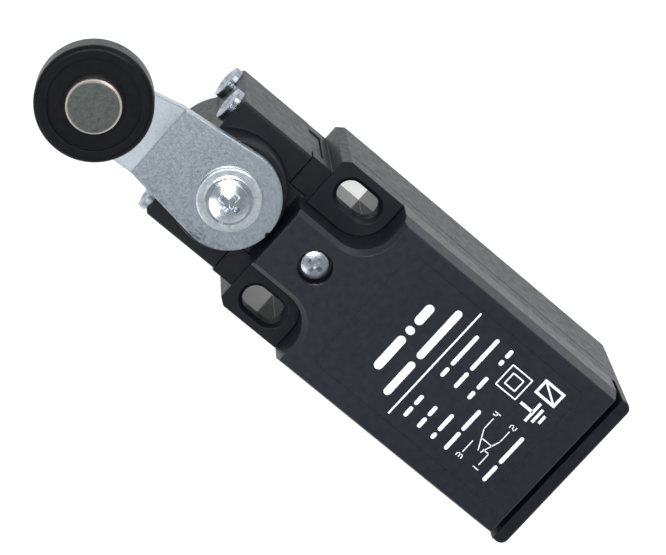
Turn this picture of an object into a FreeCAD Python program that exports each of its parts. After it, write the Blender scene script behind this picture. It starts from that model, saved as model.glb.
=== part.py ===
import FreeCAD, Part
import os
import math

V = FreeCAD.Vector
os.makedirs("parts", exist_ok=True)

# Limit switch with a cranked roller lever, plastic body to the compact
# 30 mm wide format.  Millimetres.
# Frame: the origin is midway between the two fixing slots, on the flat back
# face.  +X is to the right of the switch, +Y runs along the body to the head
# and lever, +Z is out of the back face to the front.  The switch lies on its
# back on z = 0.

# ---------------------------------------------------------------- body
HALF_W = 15.0            # half width of the body
Y_END = -52.5            # conduit end of the body
Y_SHOULDER = 5.9         # shoulder above the fixing slots
Z_PART = 20.2            # parting plane between base and cover
Z_EAR = 21.2             # front face of the two fixing ears
Z_LIP = 28.6             # top of the end wall
Y_LIP = -50.3            # inner face of the end wall
SLOT_X = 11.0            # fixing slots, 22 mm apart
SLOT_W = 4.3
SLOT_L = 7.3
SLOT_CH = 0.6            # chamfer round the mouth of a slot
EAR_T = 3.5              # thickness of the ear plate
POCKET_X0, POCKET_X1 = 7.5, 13.4
POCKET_Y0, POCKET_Y1 = -4.85, 4.3
CH_X = 12.6              # wiring chamber half width
CH_Y0, CH_Y1 = -43.5, -7.8
FLOOR = 2.2              # floor of the chamber
NECK_X = 11.8            # neck half width
NECK_Y = 9.6             # neck corner posts
NECK_Z0, NECK_Z1 = 0.9, 20.65
SEAT_Y = 6.5             # seat of the head gasket
PAS_X = 4.2              # plunger passage half width
PAS_Z0, PAS_Z1 = 6.6, 14.9
ENTRY_Z = 14.2           # axis height of the cable entry
ENTRY_R = 9.25           # M20 x 1.5 tapped bore, minor radius
ENTRY_L = 9.0
BOSS_R = 11.4
PAD_C = (11.1, -0.5)
PAD_R = 5.3
CORNER_CH = 0.9

# ---------------------------------------------------------------- cover
COV_Y0 = -49.4
Z_COV = 29.0
Z_BEVEL = 26.0
BEVEL = 0.8
NOTCH_C = (11.2, -0.4)
NOTCH_R = 5.5
TONG_X = 5.7
TONG_Y = 7.4
CS_X, CS_Y = 0.35, -0.2  # cover screw position
EDGE = 0.8               # sloping edge round the notches
CB_R = 2.75              # cover screw counterbore
CB_Z = 25.9

# ---------------------------------------------------------------- head
HY0 = 9.75               # head lower face
HTY = 7.4                # end of the head tongues
HY1 = 23.5               # end face of the head
HZ0, HZ1 = 1.0, 20.65
HXB, HXF = 11.86, 11.57  # half width at the back and at the front
TG_X = 6.2               # front and back tongue half width
TG_Z0, TG_Z1 = 4.3, 17.0 # side tongue
AX_Y = 16.6              # shaft axis
BAR_R0, BAR_R1 = 9.4, 8.85
BAR_Z0, BAR_Z1 = 3.0, 26.3
BORE_R = 6.6
BORE_Z0 = 3.5
HS_X = 9.15
HS_Z = (3.7, 17.9)
HS_R = 2.7
HS_H = 1.4
PL_Z = 10.8              # plunger axis height
PL_R = 2.2
TRAVEL = 3.0             # plunger travel

# ---------------------------------------------------------------- lever
SH_R = 3.0
HUB_R = 8.0
HUB_Z1 = 28.7
LEV_T = 1.6
BEND_Y = 30.4
BEND_W = 6.35
RISE = 3.8
SLOPE_Y = 36.0
ARM = 25.9               # shaft axis to roller axis
TANG = 4.4
WASHER_R = 5.0

# ---------------------------------------------------------------- roller
ROL_R = 8.75
ROL_T = 5.4
ROL_EDGE = 0.8
PIN_R = 2.0
PINH_R = 4.1
PINH_H = 1.6
FIT = 0.05               # radial running fit


def box(x0, x1, y0, y1, z0, z1):
    return Part.makeBox(x1 - x0, y1 - y0, z1 - z0, V(x0, y0, z0))


def cyl(r, z0, z1, x=0.0, y=0.0):
    return Part.makeCylinder(r, z1 - z0, V(x, y, z0), V(0, 0, 1))


def cyl_y(r, y0, y1, x=0.0, z=0.0):
    return Part.makeCylinder(r, y1 - y0, V(x, y0, z), V(0, 1, 0))


def prism(points, vec):
    w = Part.makePolygon([V(*p) for p in points] + [V(*points[0])])
    return Part.Face(w).extrude(V(*vec))


def slot(w, l, z0, z1, x, y):
    h = (l - w) / 2.0
    r = w / 2.0
    s = cyl(r, z0, z1, x, y - h)
    s = s.fuse(cyl(r, z0, z1, x, y + h))
    return s.fuse(box(x - r, x + r, y - h, y + h, z0, z1)).removeSplitter()


def slot_cone(w, l, z0, z1, grow, x, y):
    # tapered stadium: width w at z0, w + 2*grow at z1
    h = (l - w) / 2.0
    r = w / 2.0
    a = Part.makeCone(r, r + grow, z1 - z0, V(x, y - h, z0), V(0, 0, 1))
    b = Part.makeCone(r, r + grow, z1 - z0, V(x, y + h, z0), V(0, 0, 1))
    m = prism([(x - r, y - h, z0), (x + r, y - h, z0),
               (x + r + grow, y - h, z1), (x - r - grow, y - h, z1)],
              (0, 2 * h, 0))
    return a.fuse([b, m])


def spring(r, wire, y0, y1, turns, x, z):
    # round wire compression spring about an axis along Y
    length = (y1 - y0) - 2 * wire
    helix = Part.makeHelix(length / turns, length, r)
    prof = Part.Wire([Part.makeCircle(wire, V(r, 0, 0), V(0, 1, 0))])
    s = Part.Wire(helix).makePipeShell([prof], True, True)
    s.rotate(V(0, 0, 0), V(1, 0, 0), -90)
    s.translate(V(x, y0 + wire, z))
    return s


def edges_at(shape, test):
    out = []
    for e in shape.Edges:
        c = e.CenterOfMass
        if test(e, c):
            out.append(e)
    return out


def is_line_along(e, axis):
    if len(e.Vertexes) < 2:
        return False
    a = e.Vertexes[0].Point
    b = e.Vertexes[-1].Point
    d = b.sub(a)
    if d.Length < 1e-6:
        return False
    d.normalize()
    return abs(abs(getattr(d, axis)) - 1.0) < 1e-4 and e.Curve.TypeId == "Part::GeomLine"


def cross_recess(x, y, z_top, arm, width, depth):
    # cross drive, tapered, cut from the top of a head
    out = None
    for ang in (0, 90):
        p = prism([(-arm, -width / 2, 0), (arm, -width / 2, 0),
                   (arm * 0.45, -width / 2, -depth), (-arm * 0.45, -width / 2, -depth)],
                  (0, width, 0))
        p.rotate(V(0, 0, 0), V(0, 0, 1), ang)
        out = p if out is None else out.fuse(p)
    out.translate(V(x, y, z_top))
    return out


def pan_head(r, h, z0, x=0.0, y=0.0, dome=0.35, recess=None):
    # pan head standing on z0, slightly domed, with a cross drive
    edge = h * (1 - dome)
    body = cyl(r, z0, z0 + edge, x, y)
    rr = (r * r + (h - edge) ** 2) / (2 * (h - edge))
    sphere = Part.makeSphere(rr, V(x, y, z0 + h - rr))
    cap = sphere.common(cyl(r, z0 + edge, z0 + h + 1, x, y))
    body = body.fuse(cap).removeSplitter()
    if recess:
        body = body.cut(cross_recess(x, y, z0 + h + 0.05, *recess))
    return body


def to_y(shape, x, y, z, flip=1):
    # turns a solid built along +Z so that it lies along +Y (flip=1) or -Y
    s = shape.copy()
    s.rotate(V(0, 0, 0), V(1, 0, 0), -90 * flip)
    s.translate(V(x, y, z))
    return s


out = {}

# ================================================================ base
pts = [(-HALF_W, Y_END), (HALF_W, Y_END),
       (HALF_W, Y_SHOULDER - 1.2), (HALF_W - CORNER_CH, Y_SHOULDER),
       (-HALF_W + CORNER_CH, Y_SHOULDER), (-HALF_W, Y_SHOULDER - 1.2)]
base = prism([(x, y, 0.0) for x, y in pts], (0, 0, Z_PART))
base = base.fuse(box(-HALF_W, HALF_W, Y_END, Y_LIP, 0, Z_LIP)).removeSplitter()
base = base.makeFillet(1.3, edges_at(base, lambda e, c: is_line_along(e, "z") and c.y < Y_END + 0.1))
base = base.makeFillet(0.5, edges_at(base, lambda e, c: abs(c.z - Z_LIP) < 1e-3 and c.y < Y_LIP - 0.2))
# neck under the head
base = base.fuse(box(-NECK_X, NECK_X, Y_SHOULDER - 0.5, NECK_Y, NECK_Z0, NECK_Z1))
# ear pads standing above the parting plane
for s in (-1, 1):
    pad = cyl(PAD_R, Z_PART - 1, Z_EAR, s * PAD_C[0], PAD_C[1])
    x0, x1 = sorted((s * (PAD_C[0] - PAD_R), s * HALF_W))
    pad = pad.fuse(box(x0, x1, PAD_C[1], Y_SHOULDER, Z_PART - 1, Z_EAR))
    x0, x1 = sorted((s * PAD_C[0], s * HALF_W))
    pad = pad.fuse(box(x0, x1, PAD_C[1] - PAD_R, Y_SHOULDER, Z_PART - 1, Z_EAR))
    lim = prism([(x, y, Z_PART - 1) for x, y in pts], (0, 0, 3))
    pad = pad.common(lim)
    base = base.fuse(pad)
# boss round the cable entry, rising above the parting plane
base = base.fuse(cyl_y(BOSS_R, Y_LIP - 0.5, CH_Y0, 0, ENTRY_Z).common(
    box(-HALF_W, HALF_W, Y_LIP - 0.5, CH_Y0, 2, 40)))
base = base.removeSplitter()
# wiring chamber, plunger passage, cross wall hole
base = base.cut(box(-CH_X, CH_X, CH_Y0, CH_Y1, FLOOR, 40))
base = base.cut(box(-PAS_X, PAS_X, POCKET_Y0, 12, PAS_Z0, PAS_Z1))
base = base.cut(cyl_y(2.6, CH_Y1 - 1, POCKET_Y0 + 1, 0, PL_Z))
# seat of the head: front and back channel, side channels
base = base.cut(box(-TG_X - 0.12, TG_X + 0.12, SEAT_Y, 12, -1, 40))
base = base.cut(box(-20, 20, HTY, 12, TG_Z0 - 0.12, TG_Z1 + 0.12))
# ear pockets, open at the back, and the fixing slots
for s in (-1, 1):
    x0, x1 = sorted((s * POCKET_X0, s * POCKET_X1))
    base = base.cut(box(x0, x1, POCKET_Y0, POCKET_Y1, -1, Z_EAR - EAR_T))
    base = base.cut(slot(SLOT_W, SLOT_L, Z_EAR - EAR_T - 1, Z_EAR + 1, s * SLOT_X, 0))
    base = base.cut(slot_cone(SLOT_W, SLOT_L, Z_EAR - SLOT_CH, Z_EAR, SLOT_CH, s * SLOT_X, 0))
# shallow line along both sides
for s in (-1, 1):
    x0, x1 = sorted((s * 14.86, s * 16))
    base = base.cut(box(x0, x1, -51.0, 4.0, 15.9, 16.15))
# cable entry
base = base.cut(cyl_y(ENTRY_R, Y_END - 1, CH_Y0 + 1, 0, ENTRY_Z))
base = base.cut(Part.makeCone(ENTRY_R + 0.8, ENTRY_R, 0.8, V(0, Y_END, ENTRY_Z), V(0, 1, 0)))
# thread holes: head screws and cover screw
for x in (-HS_X, HS_X):
    for z in HS_Z:
        base = base.cut(cyl_y(1.4, 5.0, 12, x, z))
base = base.cut(cyl(1.3, 15.6, 30, CS_X, CS_Y))
# bosses for the contact block screws
BLK_SX, BLK_SY = 9.9, -22.0
for s in (-1, 1):
    base = base.fuse(cyl(2.1, FLOOR - 0.5, 6.2, s * BLK_SX, BLK_SY))
    base = base.cut(cyl(1.25, 1.2, 8, s * BLK_SX, BLK_SY))
# groove of the cover gasket: two long walls and the cross wall
GX0, GX1 = 13.3, 14.1
GY0, GY1 = -49.0, -6.3
GY_IN = -7.1
groove = box(-GX1, -GX0, GY0, GY1, Z_PART - 0.7, Z_PART + 0.2)
groove = groove.fuse(box(GX0, GX1, GY0, GY1, Z_PART - 0.7, Z_PART + 0.2))
groove = groove.fuse(box(-GX1, GX1, GY_IN, GY1, Z_PART - 0.7, Z_PART + 0.2)).removeSplitter()
gasket = groove.common(box(-20, 20, -60, 10, 0, Z_PART))
base = base.cut(groove)
# hook recesses for the cover in the end wall
for x in (-9.5, 9.5):
    base = base.cut(box(x - 2.2, x + 2.2, Y_LIP - 1.0, Y_LIP + 0.2, 24.0, 25.8))
base = base.removeSplitter()
out["base_housing"] = base
out["cover_gasket"] = gasket.removeSplitter()

# ================================================================ cover
sec = [(-HALF_W, 0, Z_PART), (HALF_W, 0, Z_PART), (HALF_W, 0, Z_BEVEL),
       (HALF_W - BEVEL, 0, Z_COV), (-HALF_W + BEVEL, 0, Z_COV), (-HALF_W, 0, Z_BEVEL)]
cover = prism(sec, (0, TONG_Y - COV_Y0, 0))
cover.translate(V(0, COV_Y0, 0))
for s in (-1, 1):
    cover = cover.cut(cyl(NOTCH_R, Z_PART - 1, Z_COV + 1, s * NOTCH_C[0], NOTCH_C[1]))
    x0, x1 = sorted((s * TONG_X, s * 20))
    cover = cover.cut(box(x0, x1, NOTCH_C[1], 20, Z_PART - 1, Z_COV + 1))
    x0, x1 = sorted((s * NOTCH_C[0], s * 20))
    cover = cover.cut(box(x0, x1, NOTCH_C[1] - NOTCH_R, 20, Z_PART - 1, Z_COV + 1))
cover = cover.removeSplitter()
for s in (-1, 1):
    # sloping edge round each notch
    cover = cover.cut(Part.makeCone(NOTCH_R, NOTCH_R + EDGE, EDGE,
                                    V(s * NOTCH_C[0], NOTCH_C[1], Z_COV - EDGE), V(0, 0, 1)))
    c = prism([(s * TONG_X, NOTCH_C[1], Z_COV - EDGE), (s * 20, NOTCH_C[1], Z_COV - EDGE),
               (s * 20, NOTCH_C[1], Z_COV), (s * (TONG_X - EDGE), NOTCH_C[1], Z_COV)], (0, 12, 0))
    cover = cover.cut(c)
    yn = NOTCH_C[1] - NOTCH_R
    c = prism([(s * NOTCH_C[0], yn, Z_COV - EDGE), (s * NOTCH_C[0], yn + 4, Z_COV - EDGE),
               (s * NOTCH_C[0], yn + 4, Z_COV), (s * NOTCH_C[0], yn - EDGE, Z_COV)], (s * 6, 0, 0))
    cover = cover.cut(c)
cover = cover.removeSplitter()
top = [e for e in cover.Edges
       if abs(e.BoundBox.ZMin - Z_COV) < 1e-3 and abs(e.BoundBox.ZMax - Z_COV) < 1e-3
       and (e.CenterOfMass.y < -7.5 or e.CenterOfMass.y > TONG_Y - 0.1)]
cover = cover.makeFillet(0.3, top)
# under the tongue the cover clears the neck
cover = cover.cut(box(-10, 10, Y_SHOULDER - 0.6, 10, Z_PART - 1, 20.8))
# hollow inside
hollow = box(-12.9, 12.9, -47.4, -8.2, Z_PART - 1, 26.9)
cover = cover.cut(hollow)
# arch over the entry boss
cover = cover.cut(cyl_y(BOSS_R + 0.3, -51, -40, 0, ENTRY_Z))
# screw counterbore and hole
cover = cover.cut(cyl(CB_R, CB_Z, 40, CS_X, CS_Y))
cover = cover.cut(cyl(1.7, 10, 40, CS_X, CS_Y))
# hooks that catch in the end wall
for x in (-9.5, 9.5):
    cover = cover.fuse(box(x - 2.0, x + 2.0, Y_LIP - 0.8, COV_Y0 + 0.5, 24.2, 25.6))
cover = cover.removeSplitter()
out["front_cover"] = cover

# cover screw, M3 pan head with a cross drive
scr = pan_head(2.15, 1.9, CB_Z, CS_X, CS_Y, 0.13, (1.45, 0.6, 1.1))
scr = scr.fuse(cyl(1.3, 16.2, CB_Z, CS_X, CS_Y)).removeSplitter()
out["cover_screw"] = scr

# ================================================================ head
head = prism([(-HXB, HY0, HZ0), (HXB, HY0, HZ0), (HXF, HY0, HZ1), (-HXF, HY0, HZ1)],
             (0, HY1 - HY0, 0))
head = head.makeChamfer(0.6, edges_at(head, lambda e, c: abs(c.y - HY1) < 0.01 and abs(c.x) > 5))
head = head.makeFillet(0.5, edges_at(head, lambda e, c: abs(c.z - HZ1) < 0.01 and abs(c.x) > 5 and c.y < HY1 - 1))
head = head.fuse(Part.makeCone(BAR_R0, BAR_R1, BAR_Z1 - BAR_Z0, V(0, AX_Y, BAR_Z0), V(0, 0, 1)))
# tongues that seat in the neck
head = head.fuse(box(-TG_X, TG_X, HTY - 0.14, HY0 + 0.5, HZ0, HZ1))
head = head.fuse(box(-HXF + 0.02, HXF - 0.02, HTY + 0.14, HY0 + 0.5, TG_Z0, TG_Z1))
head = head.removeSplitter()
rim = [e for e in head.Edges if abs(e.BoundBox.ZMin - BAR_Z1) < 1e-3]
head = head.makeFillet(0.4, rim)
# shaft bore, journal and plunger bore
head = head.cut(cyl(BORE_R, BORE_Z0, 40, 0, AX_Y))
head = head.cut(cyl(2.0 + FIT, 1.9, BORE_Z0 + 0.5, 0, AX_Y))
head = head.cut(cyl_y(PL_R + FIT, 0, AX_Y - 4, 0, PL_Z))
# clearance holes of the head screws
for x in (-HS_X, HS_X):
    for z in HS_Z:
        head = head.cut(cyl_y(1.6, 0, HY1 + 2, x, z))
head = head.removeSplitter()
out["head_housing"] = head

# gasket between neck and head
g = box(-TG_X + 0.05, TG_X - 0.05, SEAT_Y, HTY - 0.14, 1.2, 20.4)
g = g.cut(cyl_y(2.7, 0, 12, 0, PL_Z))
out["head_gasket"] = g

# four head screws, M3 pan head
hs = []
for x in (-HS_X, HS_X):
    for z in HS_Z:
        s = pan_head(HS_R, HS_H, 0, 0, 0, 0.3)
        s = s.cut(Part.makeCone(1.2, 2.05, 0.65, V(0, 0, HS_H - 0.6), V(0, 0, 1)))
        s = s.cut(cross_recess(0, 0, HS_H - 0.55, 1.1, 0.5, 0.7))
        s = s.fuse(cyl(1.4, -18.1, 0)).removeSplitter()
        hs.append(to_y(s, x, HY1, z))
out["head_screws"] = Part.Compound(hs)

# shaft bush with the seal groove, and the seal
bush = cyl(BORE_R, 17.0, 26.0, 0, AX_Y)
bush = bush.cut(cyl(SH_R + FIT, 10, 30, 0, AX_Y))
bush = bush.cut(cyl(4.6, 23.4, 25.0, 0, AX_Y))
out["shaft_bush"] = bush
seal = cyl(4.6, 23.4, 25.0, 0, AX_Y).cut(cyl(SH_R + FIT, 20, 30, 0, AX_Y))
out["shaft_seal"] = seal

# shaft with its cam: journal, cam with a flat, bearing length, square tang
sh = cyl(2.0, 2.0, 5.2, 0, AX_Y)
sh = sh.fuse(cyl(SH_R, 5.0, HUB_Z1 - LEV_T, 0, AX_Y))
sh = sh.fuse(box(-TANG / 2, TANG / 2, AX_Y - TANG / 2, AX_Y + TANG / 2, 26, HUB_Z1 - 0.2))
cam = cyl(5.0, 5.5, 15.5, 0, AX_Y).cut(box(-10, 10, AX_Y - 10, AX_Y - 3.9, 0, 30))
sh = sh.fuse(cam).removeSplitter()
sh = sh.cut(cyl(4.0, 16.05, 16.95, 0, AX_Y).cut(cyl(2.6, 10, 20, 0, AX_Y)))
sh = sh.cut(cyl(1.9, 17.6, 40, 0, AX_Y))
out["lever_shaft"] = sh
ring = cyl(4.6, 16.1, 16.9, 0, AX_Y).cut(cyl(2.65, 10, 20, 0, AX_Y))
ring = ring.cut(box(-1.2, 1.2, AX_Y + 1, AX_Y + 10, 10, 20))
out["shaft_retaining_ring"] = ring

# plunger and its spring
pl = cyl_y(PL_R, -7.9, 10.3, 0, PL_Z)
dome = Part.makeSphere(2.6, V(0, 11.3 - 2.6, PL_Z)).common(cyl_y(PL_R, 10.3, 12, 0, PL_Z))
pl = pl.fuse(dome)
pl = pl.fuse(cyl_y(3.3, 5.2, 6.4, 0, PL_Z)).removeSplitter()
out["head_plunger"] = pl
out["plunger_return_spring"] = spring(2.95, 0.35, -4.85, 5.2, 5, 0, PL_Z)

# ================================================================ lever
z0, z1 = HUB_Z1 - LEV_T, HUB_Z1
a = math.asin((HUB_R - BEND_W) / (BEND_Y - AX_Y))
tx, ty = HUB_R * math.cos(a), HUB_R * math.sin(a)
hub = cyl(HUB_R, z0, z1, 0, AX_Y)
web = prism([(tx, AX_Y + ty, z0), (BEND_W, BEND_Y, z0), (-BEND_W, BEND_Y, z0), (-tx, AX_Y + ty, z0)],
            (0, 0, LEV_T))
hub = hub.fuse(web)
# crank: profile in YZ, cut to the plan outline
ang = math.atan2(RISE, SLOPE_Y - BEND_Y)
dy = LEV_T * math.tan(ang / 2)
RY = AX_Y + ARM
prof = [(0, BEND_Y - 0.5, z0), (0, BEND_Y + dy, z0), (0, SLOPE_Y + dy, z0 + RISE), (0, RY + 8, z0 + RISE),
        (0, RY + 8, z1 + RISE), (0, SLOPE_Y, z1 + RISE), (0, BEND_Y, z1), (0, BEND_Y - 0.5, z1)]
crank = prism([(-10, p[1], p[2]) for p in prof], (20, 0, 0))
END_R = 5.4
plan = prism([(BEND_W + 0.06, BEND_Y - 0.5, 20), (END_R + 0.4, SLOPE_Y, 20), (END_R, RY, 20),
              (-END_R, RY, 20), (-END_R - 0.4, SLOPE_Y, 20), (-BEND_W - 0.06, BEND_Y - 0.5, 20)], (0, 0, 20))
plan = plan.fuse(cyl(END_R, 20, 40, 0, RY))
crank = crank.common(plan)
lever = hub.fuse(crank).removeSplitter()
lever = lever.cut(box(-TANG / 2, TANG / 2, AX_Y - TANG / 2, AX_Y + TANG / 2, 20, 40))
lever = lever.cut(cyl(PIN_R, 20, 40, 0, RY))
# small nicks left by the blanking tool
lever = lever.cut(cyl(0.45, 20, 40, 7.45, 24.9))
lever = lever.cut(cyl(0.45, 20, 40, -0.5, AX_Y - HUB_R - 0.1))
out["lever_plate"] = lever.removeSplitter()

w = cyl(WASHER_R, HUB_Z1, HUB_Z1 + 0.7, 0, AX_Y).cut(cyl(2.1, 20, 40, 0, AX_Y))
w = w.makeFillet(0.25, [e for e in w.Edges if abs(e.CenterOfMass.z - HUB_Z1 - 0.7) < 1e-3 and e.Curve.TypeId == 'Part::GeomCircle' and e.Curve.Radius > 4])
out["lever_washer"] = w
ZW = HUB_Z1 + 0.7
sw = cyl(3.65, ZW, ZW + 0.6, 0, AX_Y).cut(cyl(2.1, 20, 40, 0, AX_Y))
gap = box(0, 6, -0.3, 0.3, 20, 40)
gap.rotate(V(0, 0, 0), V(0, 0, 1), 200)
gap.translate(V(0, AX_Y, 0))
out["lever_spring_washer"] = sw.cut(gap)
ZS = ZW + 0.6
ls = pan_head(3.05, 1.6, ZS, 0, AX_Y, 0.38, (2.1, 0.9, 1.3))
ls = ls.fuse(cyl(1.9, 18.0, ZS, 0, AX_Y)).removeSplitter()
out["lever_screw"] = ls

# roller pin: riveted tail, shoulder under the roller, flat chamfered head
ZT = z1 + RISE                      # front face of the lever at the roller
RZ0 = ZT + 0.5                      # back face of the roller
RZ1 = RZ0 + ROL_T
BOSSF = RZ1 - 0.2
pin = cyl(PIN_R, z0 + RISE - 0.9, BOSSF + 0.2, 0, RY)
tail = Part.makeCone(2.3, 3.1, 0.9, V(0, RY, z0 + RISE - 0.9), V(0, 0, 1))
pin = pin.fuse(tail)
pin = pin.fuse(cyl(3.1, ZT, RZ0 - 0.03, 0, RY))
ph = cyl(PINH_R, BOSSF + 0.03, BOSSF + 0.03 + PINH_H, 0, RY)
ph = ph.makeChamfer(0.4, [e for e in ph.Edges if abs(e.BoundBox.ZMin - (BOSSF + 0.03 + PINH_H)) < 1e-3 and e.BoundBox.ZMax - e.BoundBox.ZMin < 1e-3])
pin = pin.fuse(ph).removeSplitter()
out["roller_pin"] = pin

rol = cyl(ROL_R, RZ0, RZ1, 0, RY)
rol = rol.makeFillet(ROL_EDGE, [e for e in rol.Edges if e.Curve.TypeId == "Part::GeomCircle"])
rol = rol.cut(cyl(6.8, RZ1 - 0.45, RZ1 + 1, 0, RY).cut(cyl(4.6, 0, 60, 0, RY)))
rol = rol.cut(cyl(4.6, BOSSF, RZ1 + 1, 0, RY))
rol = rol.cut(cyl(6.8, RZ0 - 1, RZ0 + 0.45, 0, RY).cut(cyl(4.6, 0, 60, 0, RY)))
rol = rol.cut(cyl(PIN_R + FIT, 20, 60, 0, RY))
out["roller"] = rol.removeSplitter()

# ================================================================ contact block
BX, BY0, BY1, BZ0, BZ1 = 12.3, -37.0, -10.6, FLOOR, 15.0
blk = box(-BX, BX, BY0, BY1, BZ0, BZ1)
CX = 2.9
blk = blk.cut(box(-CX, CX, BY0 + 1.0, BY1 + 1, PL_Z - CX, BZ1 + 1))
NC_Y, NO_Y = -14.1, -22.0       # front faces of the two moving bridges
BR_T = 1.0
CAV = 7.7
blk = blk.cut(box(-CAV, CAV, NC_Y - BR_T - TRAVEL - 0.9, NC_Y + 1.6, 8.6, BZ1 + 1))
blk = blk.cut(box(-CAV, CAV, NO_Y - BR_T - TRAVEL - 1.5, NO_Y + 0.6, 8.6, BZ1 + 1))
TSX = 9.6
T_NC, T_NO = -14.9, -29.4
for s in (-1, 1):
    for y in (T_NC, T_NO):
        blk = blk.cut(cyl(1.4, 9.5, BZ1 + 1, s * TSX, y))
    blk = blk.cut(cyl(2.2, 0, 6.25, s * BLK_SX, BLK_SY))
    blk = blk.cut(cyl(1.4, 0, 30, s * BLK_SX, BLK_SY))
# barrier ribs between the upper and lower terminals
for s in (-1, 1):
    x0, x1 = sorted((s * 4.4, s * BX))
    blk = blk.fuse(box(x0, x1, -25.4, -24.6, BZ1 - 0.5, 18.4).common(box(x0, x1, -40, 0, BZ1 - 0.5, 18.4)))
    blk = blk.fuse(box(x0, x1, -19.4, -18.6 - 0.0, BZ1 - 0.5, 18.4))
blk = blk.cut(box(-CAV, CAV, NC_Y - BR_T - TRAVEL - 0.9, NC_Y + 1.6, 8.6, BZ1))
blk = blk.cut(box(-CAV, CAV, NO_Y - BR_T - TRAVEL - 1.5, NO_Y + 0.6, 8.6, BZ1))
out["contact_block_housing"] = blk.removeSplitter()

bc = box(-4.2, 4.2, BY0 + 0.4, BY1 - 0.2, BZ1, BZ1 + 1.0)
out["contact_block_cover"] = bc

bs = []
for s in (-1, 1):
    q = pan_head(2.3, 1.6, BZ1, s * BLK_SX, BLK_SY, 0.4, (1.3, 0.5, 0.9))
    q = q.fuse(cyl(1.25, 1.5, BZ1, s * BLK_SX, BLK_SY)).removeSplitter()
    bs.append(q)
out["contact_block_screws"] = Part.Compound(bs)

# moving carrier with the two bridges
car = box(-2.6, 2.6, -30.0, -8.0, PL_Z - 2.6, PL_Z + 2.6)
for y in (NC_Y, NO_Y):
    car = car.cut(box(-5, 5, y - BR_T, y, PL_Z - 1.6, PL_Z + 1.6))
car = car.makeChamfer(0.5, edges_at(car, lambda e, c: abs(c.y + 8.0) < 1e-3))
out["contact_carrier"] = car
for name, y, side in (("nc_contact_bridge", NC_Y, 1), ("no_contact_bridge", NO_Y, -1)):
    b = box(-7.0, 7.0, y - BR_T, y, PL_Z - 1.6, PL_Z + 1.6)
    for x in (-5.6, 5.6):
        # silver contact buttons
        if side > 0:
            b = b.cut(box(x - 1.4, x + 1.4, y - 0.3, y + 1, PL_Z - 2, PL_Z + 2))
            b = b.fuse(cyl_y(1.1, y - 0.35, y - 0.0, x, PL_Z))
        else:
            b = b.cut(box(x - 1.4, x + 1.4, y - BR_T - 1, y - BR_T + 0.3, PL_Z - 2, PL_Z + 2))
            b = b.fuse(cyl_y(1.1, y - BR_T, y - BR_T + 0.35, x, PL_Z))
    out[name] = b.removeSplitter()
out["contact_return_spring"] = spring(1.6, 0.25, -36.0, -30.0, 4, 0, PL_Z)

# fixed contacts: terminal plate and contact leg
for name, leg_y0, leg_y1, t_y, py0, py1 in (
        ("nc_fixed_contacts", NC_Y + 0.1, NC_Y + 0.9, T_NC, -17.4, NC_Y + 1.5),
        ("no_fixed_contacts", NO_Y - BR_T - TRAVEL - 0.9, NO_Y - BR_T - TRAVEL - 0.1, T_NO, -32.0, NO_Y - BR_T - TRAVEL - 0.1)):
    fc = []
    for s in (-1, 1):
        x0, x1 = sorted((s * 4.5, s * 7.3))
        f = box(x0, x1, leg_y0, leg_y1, 9.4, BZ1 + 0.4)
        x0, x1 = sorted((s * 4.5, s * 12.1))
        f = f.fuse(box(x0, x1, py0, py1, BZ1, BZ1 + 0.8)).removeSplitter()
        f = f.cut(cyl(1.5, 0, 30, s * TSX, t_y))
        fc.append(f)
    out[name] = Part.Compound(fc)

ts, tc = [], []
for s in (-1, 1):
    for y in (T_NC, T_NO):
        c = box(s * TSX - 2.4, s * TSX + 2.4, y - 2.3, y + 2.3, BZ1 + 0.8, BZ1 + 1.5)
        c = c.cut(cyl(1.5, 0, 30, s * TSX, y))
        tc.append(c)
        q = pan_head(2.3, 1.9, BZ1 + 1.5, s * TSX, y, 0.4, (1.5, 0.6, 1.1))
        q = q.fuse(cyl(1.4, 10.2, BZ1 + 1.5, s * TSX, y)).removeSplitter()
        ts.append(q)
out["terminal_screws"] = Part.Compound(ts)
out["terminal_clamps"] = Part.Compound(tc)

for name, shape in out.items():
    shape.exportStep("parts/" + name + ".step")
    bb = shape.BoundBox
    print("%-24s valid=%s solids=%d vol=%.1f  x %.2f..%.2f y %.2f..%.2f z %.2f..%.2f" % (
        name, shape.isValid(), len(shape.Solids), shape.Volume,
        bb.XMin, bb.XMax, bb.YMin, bb.YMax, bb.ZMin, bb.ZMax))
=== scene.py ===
import math
import bpy
import bmesh
from mathutils import Vector, Matrix


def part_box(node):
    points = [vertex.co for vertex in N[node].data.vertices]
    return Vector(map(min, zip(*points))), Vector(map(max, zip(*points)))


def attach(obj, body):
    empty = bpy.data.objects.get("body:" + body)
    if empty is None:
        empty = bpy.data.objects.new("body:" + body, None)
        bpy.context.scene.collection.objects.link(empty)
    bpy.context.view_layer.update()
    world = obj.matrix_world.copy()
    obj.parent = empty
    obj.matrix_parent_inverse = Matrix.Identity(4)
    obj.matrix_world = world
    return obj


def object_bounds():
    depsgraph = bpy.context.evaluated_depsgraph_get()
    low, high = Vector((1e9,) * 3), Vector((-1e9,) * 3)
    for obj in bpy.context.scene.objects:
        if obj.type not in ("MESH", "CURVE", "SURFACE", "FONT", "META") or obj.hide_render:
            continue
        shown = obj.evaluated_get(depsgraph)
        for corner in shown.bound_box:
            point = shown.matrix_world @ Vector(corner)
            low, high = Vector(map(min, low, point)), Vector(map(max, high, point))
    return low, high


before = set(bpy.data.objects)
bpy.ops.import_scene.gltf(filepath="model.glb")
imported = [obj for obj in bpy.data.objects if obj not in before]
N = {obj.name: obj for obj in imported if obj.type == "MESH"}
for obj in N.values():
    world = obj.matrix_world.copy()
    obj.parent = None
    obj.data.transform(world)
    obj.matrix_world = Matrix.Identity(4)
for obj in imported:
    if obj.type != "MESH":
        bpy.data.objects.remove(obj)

cad_lo, cad_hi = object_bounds()
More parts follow.
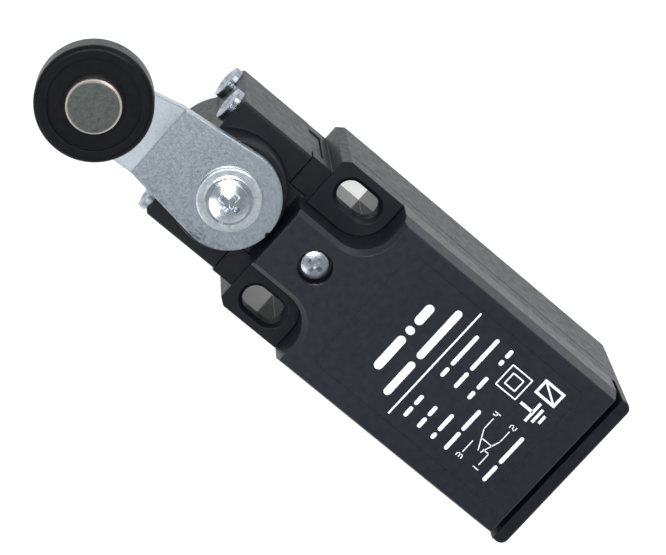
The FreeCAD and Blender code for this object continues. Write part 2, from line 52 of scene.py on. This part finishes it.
cad_lo, cad_hi = list(cad_lo), list(cad_hi)
MM = 0.001


# ------------------------------------------------------------ materials
def srgb(r, g, b):
    def lin(c):
        c /= 255.0
        return c / 12.92 if c <= 0.04045 else ((c + 0.055) / 1.055) ** 2.4
    return (lin(r), lin(g), lin(b), 1.0)


def new_mat(name):
    m = bpy.data.materials.new(name)
    m.use_nodes = True
    nt = m.node_tree
    nt.nodes.clear()
    out = nt.nodes.new("ShaderNodeOutputMaterial")
    bs = nt.nodes.new("ShaderNodeBsdfPrincipled")
    nt.links.new(bs.outputs[0], out.inputs[0])
    return m, nt, bs


def noise(nt, scale, detail=3.0, rough=0.5, stretch=None):
    tc = nt.nodes.new("ShaderNodeTexCoord")
    n = nt.nodes.new("ShaderNodeTexNoise")
    n.inputs["Scale"].default_value = scale
    n.inputs["Detail"].default_value = detail
    n.inputs["Roughness"].default_value = rough
    if stretch:
        mp = nt.nodes.new("ShaderNodeMapping")
        mp.inputs["Scale"].default_value = stretch
        nt.links.new(tc.outputs["Object"], mp.inputs[0])
        nt.links.new(mp.outputs[0], n.inputs["Vector"])
    else:
        nt.links.new(tc.outputs["Object"], n.inputs["Vector"])
    return n


def ramp(nt, src, stops):
    r = nt.nodes.new("ShaderNodeValToRGB")
    e = r.color_ramp.elements
    e[0].position, e[0].color = stops[0]
    e[1].position, e[1].color = stops[-1]
    for p, c in stops[1:-1]:
        x = e.new(p)
        x.color = c
    nt.links.new(src, r.inputs[0])
    return r


def remap(nt, src, lo, hi, a=0.3, b=0.7):
    r = nt.nodes.new("ShaderNodeMapRange")
    r.inputs["From Min"].default_value = a
    r.inputs["From Max"].default_value = b
    r.inputs["To Min"].default_value = lo
    r.inputs["To Max"].default_value = hi
    nt.links.new(src, r.inputs["Value"])
    return r


def bump(nt, bs, parts, bevel=0.0):
    # parts: (noise output, strength, distance)
    prev = None
    if bevel:
        bv = nt.nodes.new("ShaderNodeBevel")
        bv.samples = 4
        bv.inputs["Radius"].default_value = bevel
        prev = bv.outputs[0]
    for src, s, d in parts:
        b = nt.nodes.new("ShaderNodeBump")
        b.inputs["Strength"].default_value = s
        b.inputs["Distance"].default_value = d
        nt.links.new(src, b.inputs["Height"])
        if prev is not None:
            nt.links.new(prev, b.inputs["Normal"])
        prev = b.outputs[0]
    if prev is not None:
        nt.links.new(prev, bs.inputs["Normal"])


def plastic(name, lo, hi, rlo, rhi, grain=2600.0, gs=0.25, bevel=0.00022, spec=0.5):
    # moulded plastic: fine spark-eroded grain, faint mottling, slow change of gloss
    m, nt, bs = new_mat(name)
    a = noise(nt, 60.0, 4.0)
    c = ramp(nt, a.outputs["Fac"], [(0.35, lo), (0.65, hi)])
    nt.links.new(c.outputs[0], bs.inputs["Base Color"])
    g = noise(nt, grain, 2.0, 0.6)
    w = noise(nt, 900.0, 3.0)
    nt.links.new(remap(nt, w.outputs["Fac"], rlo, rhi).outputs[0], bs.inputs["Roughness"])
    bs.inputs["Specular IOR Level"].default_value = spec
    bump(nt, bs, [(g.outputs["Fac"], gs, 0.00003), (w.outputs["Fac"], 0.015, 0.0001)], bevel)
    return m


def metal(name, lo, hi, rlo, rhi, scale=900.0, stretch=None, bs_amt=0.2, bevel=0.00015, spots=None):
    # plated metal: mottled grain, small bright and dull spots, rounded edge shading
    m, nt, bs = new_mat(name)
    bs.inputs["Metallic"].default_value = 1.0
    a = noise(nt, scale, 5.0, 0.65, stretch)
    c = ramp(nt, a.outputs["Fac"], [(0.30, lo), (0.70, hi)])
    nt.links.new(c.outputs[0], bs.inputs["Base Color"])
    w = noise(nt, scale * 0.35, 3.0, 0.6, stretch)
    nt.links.new(remap(nt, w.outputs["Fac"], rlo, rhi).outputs[0], bs.inputs["Roughness"])
    bump(nt, bs, [(a.outputs["Fac"], bs_amt, 0.00004)], bevel)
    return m


M = {}
M["body"] = plastic("body_plastic", srgb(12, 14, 20), srgb(16, 19, 26), 0.38, 0.50, spec=0.22)
M["cover"] = plastic("cover_plastic", srgb(16, 20, 29), srgb(21, 25, 34), 0.36, 0.46, spec=0.34)
M["head"] = plastic("head_plastic", srgb(11, 13, 19), srgb(15, 17, 24), 0.38, 0.50, spec=0.24)
M["roller"] = plastic("roller_plastic", srgb(4, 6, 11), srgb(8, 11, 17), 0.36, 0.46, 1800.0, 0.15, spec=0.12)
M["rubber"] = plastic("gasket_rubber", srgb(20, 20, 21), srgb(28, 28, 29), 0.7, 0.85, 3000.0, 0.4, 0.0)
M["block"] = plastic("block_plastic", srgb(196, 192, 178), srgb(206, 203, 190), 0.4, 0.55, 2600.0, 0.2)
M["plunger"] = plastic("plunger_plastic", srgb(226, 225, 218), srgb(234, 233, 228), 0.35, 0.5, 2600.0, 0.2)
M["screw"] = metal("bright_screw", srgb(186, 192, 198), srgb(214, 220, 226), 0.16, 0.26, 1500.0, None, 0.08, 0.00012)
M["washer"] = metal("washer_zinc", srgb(178, 184, 189), srgb(202, 207, 211), 0.30, 0.40, 4200.0, None, 0.15, 0.0002)
M["lever"] = metal("lever_zinc", srgb(140, 148, 155), srgb(178, 186, 193), 0.28, 0.38, 7000.0, None, 0.30, 0.0004)
M["dish_screw"] = metal("dished_screw", srgb(112, 120, 130), srgb(168, 176, 186), 0.20, 0.32, 1500.0, None, 0.08, 0.00025)
M["pin"] = metal("pin_steel", srgb(84, 87, 85), srgb(98, 101, 98), 0.30, 0.40, 3600.0, None, 0.12, 0.0003)
M["shaft"] = metal("turned_steel", srgb(170, 171, 174), srgb(200, 201, 204), 0.2, 0.34, 900.0, (1, 1, 14), 0.15)
M["spring"] = metal("spring_wire", srgb(150, 151, 154), srgb(185, 186, 190), 0.22, 0.35, 1200.0, None, 0.1, 0.0)
M["term"] = metal("terminal_steel", srgb(190, 191, 192), srgb(218, 219, 220), 0.22, 0.36, 900.0, None, 0.15)
M["brass"] = metal("contact_strip", srgb(190, 150, 82), srgb(214, 176, 104), 0.24, 0.38, 900.0, (6, 1, 1), 0.15)

# the walls of the two ear pockets are smoother than the outside
def polish_pockets(m):
    nt = m.node_tree
    bs = [n for n in nt.nodes if n.type == "BSDF_PRINCIPLED"][0]
    tc = nt.nodes.new("ShaderNodeTexCoord")
    sx = nt.nodes.new("ShaderNodeSeparateXYZ")
    nt.links.new(tc.outputs["Object"], sx.inputs[0])

    def math_node(op, a, b=None):
        n = nt.nodes.new("ShaderNodeMath")
        n.operation = op
        if hasattr(a, "links"):
            nt.links.new(a, n.inputs[0])
        else:
            n.inputs[0].default_value = a
        if b is not None:
            if hasattr(b, "links"):
                nt.links.new(b, n.inputs[1])
            else:
                n.inputs[1].default_value = b
        return n.outputs[0]
    ax = math_node("ABSOLUTE", sx.outputs[0])
    inx = math_node("LESS_THAN", math_node("ABSOLUTE", math_node("SUBTRACT", ax, 0.01045)), 0.0031)
    iny = math_node("LESS_THAN", math_node("ABSOLUTE", sx.outputs[1]), 0.0049)
    inz = math_node("LESS_THAN", sx.outputs[2], 0.0176)
    mask = math_node("MULTIPLY", math_node("MULTIPLY", inx, iny), inz)
    old = bs.inputs["Roughness"].links[0].from_socket
    keep = math_node("SUBTRACT", 1.0, mask)
    a = math_node("MULTIPLY", old, keep)
    b = math_node("MULTIPLY", mask, 0.09)
    nt.links.new(math_node("ADD", a, b), bs.inputs["Roughness"])
    for n in nt.nodes:
        if n.type == "BUMP":
            st = n.inputs["Strength"].default_value
            nt.links.new(math_node("MULTIPLY", keep, st), n.inputs["Strength"])


polish_pockets(M["body"])


def lever_wear(m):
    # dark rubbed streaks along one edge of the lever
    nt = m.node_tree
    bs = [n for n in nt.nodes if n.type == "BSDF_PRINCIPLED"][0]
    base = bs.inputs["Base Color"].links[0].from_socket
    tc = nt.nodes.new("ShaderNodeTexCoord")
    sx = nt.nodes.new("ShaderNodeSeparateXYZ")
    nt.links.new(tc.outputs["Object"], sx.inputs[0])
    edge = remap(nt, sx.outputs[0], 1.0, 0.0, -0.0078, -0.0056)
    edge.clamp = True
    n = noise(nt, 1500.0, 4.0, 0.7, (1.0, 0.35, 1.0))
    spots = remap(nt, n.outputs["Fac"], 0.0, 1.0, 0.50, 0.60)
    mul = nt.nodes.new("ShaderNodeMath")
    mul.operation = "MULTIPLY"
    nt.links.new(edge.outputs[0], mul.inputs[0])
    nt.links.new(spots.outputs[0], mul.inputs[1])
    half = nt.nodes.new("ShaderNodeMath")
    half.operation = "MULTIPLY"
    half.inputs[1].default_value = 0.75
    nt.links.new(mul.outputs[0], half.inputs[0])
    mix = nt.nodes.new("ShaderNodeMix")
    mix.data_type = "RGBA"
    nt.links.new(half.outputs[0], mix.inputs[0])
    nt.links.new(base, mix.inputs[6])
    mix.inputs[7].default_value = srgb(66, 72, 80)
    nt.links.new(mix.outputs[2], bs.inputs["Base Color"])


lever_wear(M["lever"])


def painted_rim_highlight(m, lo, hi, f0, f1, colour):
    # painted highlight: a bright ring near the edge of a round face turned about Z, standing in for light caught by
    # the rim
    nt = m.node_tree
    bs = [n for n in nt.nodes if n.type == "BSDF_PRINCIPLED"][0]
    base = bs.inputs["Base Color"].links[0].from_socket
    r = (hi[0] - lo[0]) / 2.0
    tc = nt.nodes.new("ShaderNodeTexCoord")
    sub = nt.nodes.new("ShaderNodeVectorMath")
    sub.operation = "SUBTRACT"
    sub.inputs[1].default_value = ((lo[0] + hi[0]) / 2.0, (lo[1] + hi[1]) / 2.0, 0.0)
    flat = nt.nodes.new("ShaderNodeVectorMath")
    flat.operation = "MULTIPLY"
    flat.inputs[1].default_value = (1.0, 1.0, 0.0)
    dist = nt.nodes.new("ShaderNodeVectorMath")
    dist.operation = "LENGTH"
    nt.links.new(tc.outputs["Object"], sub.inputs[0])
    nt.links.new(sub.outputs[0], flat.inputs[0])
    nt.links.new(flat.outputs[0], dist.inputs[0])
    band = remap(nt, dist.outputs["Value"], 0.0, 1.0, f0 * r, f1 * r)
    band.clamp = True
    mix = nt.nodes.new("ShaderNodeMix")
    mix.data_type = "RGBA"
    nt.links.new(band.outputs[0], mix.inputs[0])
    nt.links.new(base, mix.inputs[6])
    mix.inputs[7].default_value = colour
    nt.links.new(mix.outputs[2], bs.inputs["Base Color"])


# painted highlight ring near the rim of the roller pin's end
pin_lo, pin_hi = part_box("roller_pin")
painted_rim_highlight(M["pin"], pin_lo, pin_hi, 0.90, 0.96, srgb(206, 194, 184))

node_mat = {
    "base_housing": "body", "front_cover": "cover", "head_housing": "head", "roller": "roller",
    "cover_gasket": "rubber", "head_gasket": "rubber", "shaft_seal": "rubber",
    "cover_screw": "screw", "head_screws": "dish_screw", "lever_screw": "screw",
    "lever_washer": "washer", "lever_spring_washer": "screw", "lever_plate": "lever",
    "roller_pin": "pin", "lever_shaft": "shaft", "shaft_retaining_ring": "shaft",
    "shaft_bush": "brass", "head_plunger": "plunger", "contact_carrier": "plunger",
    "plunger_return_spring": "spring", "contact_return_spring": "spring",
    "contact_block_housing": "block", "contact_block_cover": "block",
    "contact_block_screws": "term", "terminal_screws": "term", "terminal_clamps": "term",
    "nc_contact_bridge": "brass", "no_contact_bridge": "brass",
    "nc_fixed_contacts": "brass", "no_fixed_contacts": "brass",
}
for name, obj in N.items():
    mat = M[node_mat[name]]
    if obj.material_slots:
        for s in obj.material_slots:
            s.material = mat
    else:
        obj.data.materials.append(mat)


# ------------------------------------------------------------ printed and moulded marks
def link(name, bm, mat, body, smooth=False):
    me = bpy.data.meshes.new(name)
    bm.normal_update()
    bm.to_mesh(me)
    bm.free()
    if smooth:
        for p in me.polygons:
            p.use_smooth = True
    ob = bpy.data.objects.new(name, me)
    bpy.context.collection.objects.link(ob)
    me.materials.append(mat)
    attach(ob, body)
    return ob


def slab(bm, pts, z0, z1):
    # closed prism over an outline given in mm, anticlockwise
    a = [bm.verts.new((x * MM, y * MM, z0 * MM)) for x, y in pts]
    b = [bm.verts.new((x * MM, y * MM, z1 * MM)) for x, y in pts]
    n = len(pts)
    bm.faces.new(list(reversed(a)))
    bm.faces.new(b)
    for i in range(n):
        j = (i + 1) % n
        bm.faces.new((a[i], a[j], b[j], b[i]))


def rbox(x0, x1, y0, y1, r, seg=4):
    pts = []
    r = min(r, (x1 - x0) / 2 - 1e-4, (y1 - y0) / 2 - 1e-4)
    for cx, cy, a0 in ((x1 - r, y1 - r, 0), (x0 + r, y1 - r, 90), (x0 + r, y0 + r, 180), (x1 - r, y0 + r, 270)):
        for i in range(seg + 1):
            a = math.radians(a0 + 90.0 * i / seg)
            pts.append((cx + r * math.cos(a), cy + r * math.sin(a)))
    return pts


def frame_loop(bm, outer, inner, z0, z1):
    n = len(outer)
    def ring(pts, z):
        return [bm.verts.new((x * MM, y * MM, z * MM)) for x, y in pts]
    oa, ob_, ia, ib = ring(outer, z0), ring(outer, z1), ring(inner, z0), ring(inner, z1)
    for i in range(n):
        j = (i + 1) % n
        bm.faces.new((oa[i], oa[j], ob_[j], ob_[i]))
        bm.faces.new((ia[j], ia[i], ib[i], ib[j]))
        bm.faces.new((ob_[i], ob_[j], ib[j], ib[i]))
        bm.faces.new((oa[j], oa[i], ia[i], ia[j]))


def stroke(bm, x0, y0, x1, y1, w, z0, z1):
    d = Vector((x1 - x0, y1 - y0))
    d.normalize()
    n = Vector((-d.y, d.x)) * (w / 2)
    e = d * (w / 2)
    p = [(x0 - e.x - n.x, y0 - e.y - n.y), (x1 + e.x - n.x, y1 + e.y - n.y),
         (x1 + e.x + n.x, y1 + e.y + n.y), (x0 - e.x + n.x, y0 - e.y + n.y)]
    slab(bm, p, z0, z1)


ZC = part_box("front_cover")[1][2] / MM     # front face of the cover, mm
P0, P1 = ZC - 0.01, ZC + 0.03             # print thickness

ink, nt, bs = new_mat("white_print")
a = noise(nt, 900.0, 4.0, 0.7)
c = ramp(nt, a.outputs["Fac"], [(0.25, srgb(206, 210, 216)), (0.6, srgb(240, 242, 245))])
nt.links.new(c.outputs[0], bs.inputs["Base Color"])
nt.links.new(remap(nt, a.outputs["Fac"], 0.45, 0.65).outputs[0], bs.inputs["Roughness"])
bump(nt, bs, [(a.outputs["Fac"], 0.1, 0.00002)])

# moulded outline of the label field
bm = bmesh.new()
frame_loop(bm, rbox(-11.15, 11.8, -45.2, -9.8, 1.1, 6), rbox(-11.0, 11.65, -45.05, -9.95, 0.95, 6), P0, ZC + 0.06)
link("label_outline", bm, M["cover"], "housing")


def bars(bm, y0, y1, spans):
    # plain round-ended bars standing in for a line of print
    for x0, x1 in spans:
        slab(bm, rbox(x0, x1, y0, y1, (y1 - y0) / 2.0, 6), P0, P1)


bm = bmesh.new()
bars(bm, -18.45, -16.95, [(-5.7, 0.9), (1.6, 2.9), (3.6, 7.4)])
link("print_heading", bm, ink, "housing")
bm = bmesh.new()
bars(bm, -22.2, -20.95, [(-7.9, -1.2), (-0.3, 9.5)])
link("print_subheading", bm, ink, "housing")
bm = bmesh.new()
stroke(bm, -9.75, -24.05, 11.1, -24.15, 0.3, P0, P1)
link("print_rule", bm, ink, "housing")

bm = bmesh.new()
for yc, spans in ((-26.2, [(-8.65, -6.7), (-6.2, -4.3), (-0.2, 1.6), (2.2, 8.3)]),
                  (-29.0, [(-8.65, -6.7), (-6.2, -4.25), (-0.2, 2.9), (3.5, 9.9)]),
                  (-31.8, [(-8.65, -7.5), (-7.0, -3.6), (-0.2, 1.3), (1.9, 4.3), (6.9, 7.9), (8.4, 10.0)]),
                  (-34.55, [(-8.65, -5.1), (-4.6, -0.4)]),
                  (-42.6, [(-8.65, -5.5), (-4.9, 0.6)])):
    bars(bm, yc - 0.34, yc + 0.34, spans)
link("print_lines", bm, ink, "housing")

# contact diagram with generic terminal numbers
bm = bmesh.new()
W = 0.17
for seg in ((-7.1, -36.96, -4.85, -36.96), (-2.23, -36.96, -0.15, -36.96), (-5.4, -38.6, -2.23, -36.96),
            (-3.6, -37.75, -3.6, -39.75), (-7.1, -40.3, -4.85, -40.3), (-4.85, -40.3, -4.85, -39.2),
            (-5.4, -39.15, -2.23, -40.3), (-2.23, -40.3, -0.15, -40.3)):
    stroke(bm, *seg, W, P0, P1)
link("print_contact_diagram", bm, ink, "housing")

SEG = {"1": [(0.5, 0, 0.5, 1)],
       "2": [(0, 1, 0.55, 1), (0.55, 1, 0.55, 0.5), (0, 0.5, 0.55, 0.5), (0, 0.5, 0, 0), (0, 0, 0.55, 0)],
       "3": [(0, 1, 0.55, 1), (0.55, 1, 0.55, 0), (0, 0.5, 0.55, 0.5), (0, 0, 0.55, 0)],
       "4": [(0, 1, 0, 0.45), (0, 0.45, 0.55, 0.45), (0.5, 1, 0.5, 0)]}
bm = bmesh.new()
for ch, cx, cy in (("3", -7.9, -36.95), ("4", 0.75, -36.95), ("1", -8.1, -40.3), ("2", 0.75, -40.3)):
    for a0, b0, a1, b1 in SEG[ch]:
        h = 1.0
        stroke(bm, cx + (a0 - 0.27) * h, cy + (b0 - 0.5) * h, cx + (a1 - 0.27) * h, cy + (b1 - 0.5) * h, 0.16, P0, P1)
link("print_terminal_numbers", bm, ink, "housing")

# generic electrical symbols where the marks are: double square, earth, coil
bm = bmesh.new()
for h, w in ((2.1, 0.22), (1.15, 0.22)):
    frame_loop(bm, rbox(6.35 - h, 6.35 + h, -35.4 - h, -35.4 + h, 0.15, 2),
               rbox(6.35 - h + w, 6.35 + h - w, -35.4 - h + w, -35.4 + h - w, 0.05, 2), P0, P1)
link("print_double_square", bm, ink, "housing")
bm = bmesh.new()
stroke(bm, 4.6, -38.6, 4.6, -40.6, 0.5, P0, P1)
for k, hw in enumerate((1.6, 1.05, 0.5)):
    stroke(bm, 4.6 - hw, -40.9 - 0.95 * k, 4.6 + hw, -40.9 - 0.95 * k, 0.5, P0, P1)
link("print_earth_symbol", bm, ink, "housing")
bm = bmesh.new()
frame_loop(bm, rbox(7.15, 9.95, -42.9, -38.8, 0.1, 2), rbox(7.6, 9.5, -42.45, -39.25, 0.05, 2), P0, P1)
stroke(bm, 7.7, -42.2, 9.4, -39.5, 0.3, P0, P1 - 0.005)
link("print_coil_symbol", bm, ink, "housing")

# ------------------------------------------------------------ floor, light, camera
bm = bmesh.new()
bmesh.ops.create_grid(bm, x_segments=2, y_segments=2, size=3.0)
me = bpy.data.meshes.new("floor")
bm.to_mesh(me)
bm.free()
floor = bpy.data.objects.new("floor", me)
floor.location = (0, 0, -0.0002)
bpy.context.collection.objects.link(floor)
fm, nt, bs = new_mat("pale_floor")
bs.inputs["Base Color"].default_value = (0.5, 0.5, 0.5, 1)
bs.inputs["Emission Color"].default_value = (1.0, 1.0, 1.0, 1)
bs.inputs["Emission Strength"].default_value = 0.62
bs.inputs["Roughness"].default_value = 0.9
bs.inputs["Specular IOR Level"].default_value = 0.1
me.materials.append(fm)

world = bpy.data.worlds.new("studio")
bpy.context.scene.world = world
world.use_nodes = True
nt = world.node_tree
nt.nodes.clear()
wo = nt.nodes.new("ShaderNodeOutputWorld")
bg = nt.nodes.new("ShaderNodeBackground")
tc = nt.nodes.new("ShaderNodeTexCoord")
sx = nt.nodes.new("ShaderNodeSeparateXYZ")
nt.links.new(tc.outputs["Generated"], sx.inputs[0])
rp = ramp(nt, sx.outputs["Z"], [(0.0, (1.0, 1.0, 1.0, 1)), (0.42, (0.90, 0.92, 0.95, 1)), (0.82, (0.34, 0.36, 0.39, 1))])
nt.links.new(rp.outputs[0], bg.inputs["Color"])
bg.inputs["Strength"].default_value = 0.90
nt.links.new(bg.outputs[0], wo.inputs[0])


def area(name, loc, target, size, power, color=(1, 1, 1)):
    l = bpy.data.lights.new(name, "AREA")
    l.shape = "DISK" if size < 0.1 else "SQUARE"
    l.size = size
    l.energy = power
    l.color = color
    o = bpy.data.objects.new(name, l)
    o.location = loc
    d = Vector(target) - Vector(loc)
    o.rotation_mode = "QUATERNION"
    o.rotation_quaternion = d.to_track_quat("-Z", "Y")
    bpy.context.collection.objects.link(o)
    return o


area("softbox_left", (-0.45, 0.10, 0.50), (0, 0, 0.01), 0.40, 1.3)
area("softbox_right", (0.55, 0.05, 0.35), (0, 0, 0.01), 0.35, 1.3)
area("softbox_far", (-0.12, -0.60, 0.20), (0, 0.03, 0.03), 0.40, 0.5)
area("near_camera", (0.0955, 0.1105, 0.50), (0, 0, 0), 0.16, 1.6)

R0 = (0.66002, -0.74957, 0.05024)
R1 = (-0.72604, -0.61926, 0.29897)
R2 = (-0.19299, -0.23380, -0.95294)
TV = (-4.50319, -9.97861, 466.77625)
cam_data = bpy.data.cameras.new("camera")
cam_data.sensor_fit = "HORIZONTAL"
cam_data.sensor_width = 36.0
cam_data.lens = 157.84
cam_data.clip_start, cam_data.clip_end = 0.01, 20.0
cam = bpy.data.objects.new("camera", cam_data)
rot = Matrix((( R0[0], -R1[0], -R2[0]), (R0[1], -R1[1], -R2[1]), (R0[2], -R1[2], -R2[2])))
loc = [-(R0[i] * TV[0] + R1[i] * TV[1] + R2[i] * TV[2]) * MM for i in range(3)]
mw = rot.to_4x4()
mw.translation = Vector(loc)
cam.matrix_world = mw
bpy.context.collection.objects.link(cam)
bpy.context.scene.camera = cam
bpy.context.scene.view_settings.view_transform = "Standard"

bpy.context.view_layer.update()
